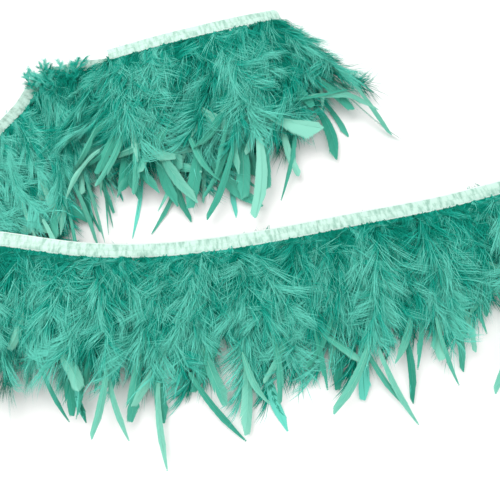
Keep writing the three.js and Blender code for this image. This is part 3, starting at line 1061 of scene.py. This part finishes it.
class FRINGE_OT_stage(bpy.types.Operator):
    """Camera, white table and soft white light"""
    bl_idname = "fringe.stage"
    bl_label = "Stage"

    def execute(self, context):
        settings = context.scene.fringe
        scene = context.scene
        camera = in_scene("camera", bpy.data.cameras.new("camera"))
        elevation = math.radians(CAMERA_ELEVATION)
        back = Vector((0, -math.cos(elevation), math.sin(elevation)))
        camera.location = Vector(framed((0, 0, 0))) + back * CAMERA_DISTANCE
        camera.rotation_euler = (-back).to_track_quat("-Z", "Y").to_euler()
        camera.data.lens = CAMERA_LENS
        camera.data.clip_start = 0.01
        scene.camera = camera

        half = TABLE_SIZE / 2
        corners = np.array([(-half, -half, 0), (half, -half, 0), (half, half, 0), (-half, half, 0)])
        material, tree = new_material("white table")
        grain = add_node(tree, "ShaderNodeTexNoise", {"Scale": 40.0, "Detail": 2.0})
        tone = ramp(tree, grain.outputs["Fac"], ((0.3, linear("#F4F3F2")), (0.7, linear("#F8F7F6"))))
        shader = add_node(tree, "ShaderNodeBsdfPrincipled", {"Roughness": 0.9, "Specular IOR Level": 0.1},
                          {"Base Color": tone.outputs["Color"]})
        finish_material(tree, shader)
        new_piece("table", corners, [[0, 1, 2, 3]], material)

        for name, place, size, share in LIGHTS:
            light = in_scene(name, bpy.data.lights.new(name, "AREA"))
            light.data.size = size
            light.data.energy = settings.key_power * share
            light.location = place
            light.rotation_euler = (-Vector(place)).to_track_quat("-Z", "Y").to_euler()
        world = bpy.data.worlds.new("white room")
        world.use_nodes = True
        world.node_tree.nodes["Background"].inputs["Color"].default_value = (1, 1, 1, 1)
        world.node_tree.nodes["Background"].inputs["Strength"].default_value = settings.room_light
        scene.world = world
        scene.view_settings.view_transform = "Standard"
        return {"FINISHED"}


class FRINGE_OT_ribbons(bpy.types.Operator):
    """Satin and backing ribbons, with their bends at the hinges"""
    bl_idname = "fringe.ribbons"
    bl_label = "Ribbons"

    def execute(self, context):
        settings = context.scene.fringe
        satin = ribbon_material("puckered satin ribbon", settings.satin, settings.satin_painted_shade, 0.4, 0.35)
        backing = ribbon_material("backing ribbon", settings.backing, settings.backing_painted_shade, 0.7, 0.6)
        for slot, side, heights, material, share in (
            ("satin", 1, satin_heights, satin, 1.0), ("backing", -1, backing_heights, backing, 0.6),
        ):
            folds = creases(np.random.default_rng(settings.seed + side))
            start = 0.0
            for name, frames, bodies in stretches():
                piece, end = ribbon(f"{slot}_ribbon_{name}_cloth", frames, start, heights, side, material,
                                    folds, share)
                attach(piece, bodies, frames, f"{slot}_ribbon_{name}")
                start = end
        return {"FINISHED"}


class FRINGE_OT_seam(bpy.types.Operator):
    """Stitches along the middle of the tape, on both ribbons"""
    bl_idname = "fringe.seam"
    bl_label = "Seam"

    def execute(self, context):
        settings = context.scene.fringe
        material = thread_material(settings.thread)
        tree = stitch_tree()
        for name, frames, bodies in stretches():
            mesh = run_tree(tree, {"Pitch": settings.stitch_pitch, "Length": settings.stitch_length,
                                   "Thickness": settings.thread_width, "Material": material},
                            seam_lines(frames))
            piece = in_scene(f"stitches_{name}", mesh)
            attach(piece, bodies, frames, f"seam_thread_{name}")
        return {"FINISHED"}


class FRINGE_OT_feathers(bpy.types.Operator):
    """Every tuft of feathers, in place of its plain solid"""
    bl_idname = "fringe.feathers"
    bl_label = "Feathers"

    def execute(self, context):
        settings = context.scene.fringe
        material = feather_material(settings)
        families = feather_families(settings, material)
        tree = tuft_tree()
        seed = 100 * settings.seed
        for group, run, start, stop, body in (
            ("top", TOP, 0.0, TOP_HINGE, "top_layer"),
            ("fold", TOP, TOP_HINGE, TOP.length, "back_run"),
            ("back", BACK, 0.0, BACK.length, "back_run"),
            ("front", FRONT, 0.0, FRONT_HINGE, "front_run"),
            ("end", FRONT, FRONT_HINGE, FRONT.length, "front_end"),
        ):
            count = int(round((stop - start) / TUFT_PITCH))
            pitch = (stop - start) / count
            for i in range(count):
                seed += 1
                node = f"feather_tuft_{group}_{i + 1:02d}"
                piece = tuft(f"feathers_{group}_{i + 1:02d}", tree, families, run, start + i * pitch, pitch,
                             settings, seed, material)
                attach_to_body(piece, body)
                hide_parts(node)
        for family in families.values():
            for feather in list(family.objects):
                bpy.data.objects.remove(feather)
            bpy.data.collections.remove(family)
        return {"FINISHED"}


class FRINGE_PT_panel(bpy.types.Panel):
    """Sizes, colours and steps of the fringe"""
    bl_idname = "FRINGE_PT_panel"
    bl_label = "Feather fringe"
    bl_space_type = "VIEW_3D"
    bl_region_type = "UI"
    bl_category = "Fringe"

    def draw(self, context):
        for name in FringeSettings.__annotations__:
            self.layout.prop(context.scene.fringe, name)
        for operator in OPERATORS:
            self.layout.operator(operator.bl_idname)


OPERATORS = (FRINGE_OT_stage, FRINGE_OT_ribbons, FRINGE_OT_seam, FRINGE_OT_feathers)
CLASSES = (FringeSettings, *OPERATORS, FRINGE_PT_panel)


def register():
    for cls in CLASSES:
        bpy.utils.register_class(cls)
    bpy.types.Scene.fringe = bpy.props.PointerProperty(type=FringeSettings)


def unregister():
    del bpy.types.Scene.fringe
    for cls in reversed(CLASSES):
        bpy.utils.unregister_class(cls)


def main():
    register()
    bpy.ops.fringe.stage()
    bpy.ops.fringe.ribbons()
    bpy.ops.fringe.seam()
    bpy.ops.fringe.feathers()


if __name__ == "__main__":
    main()
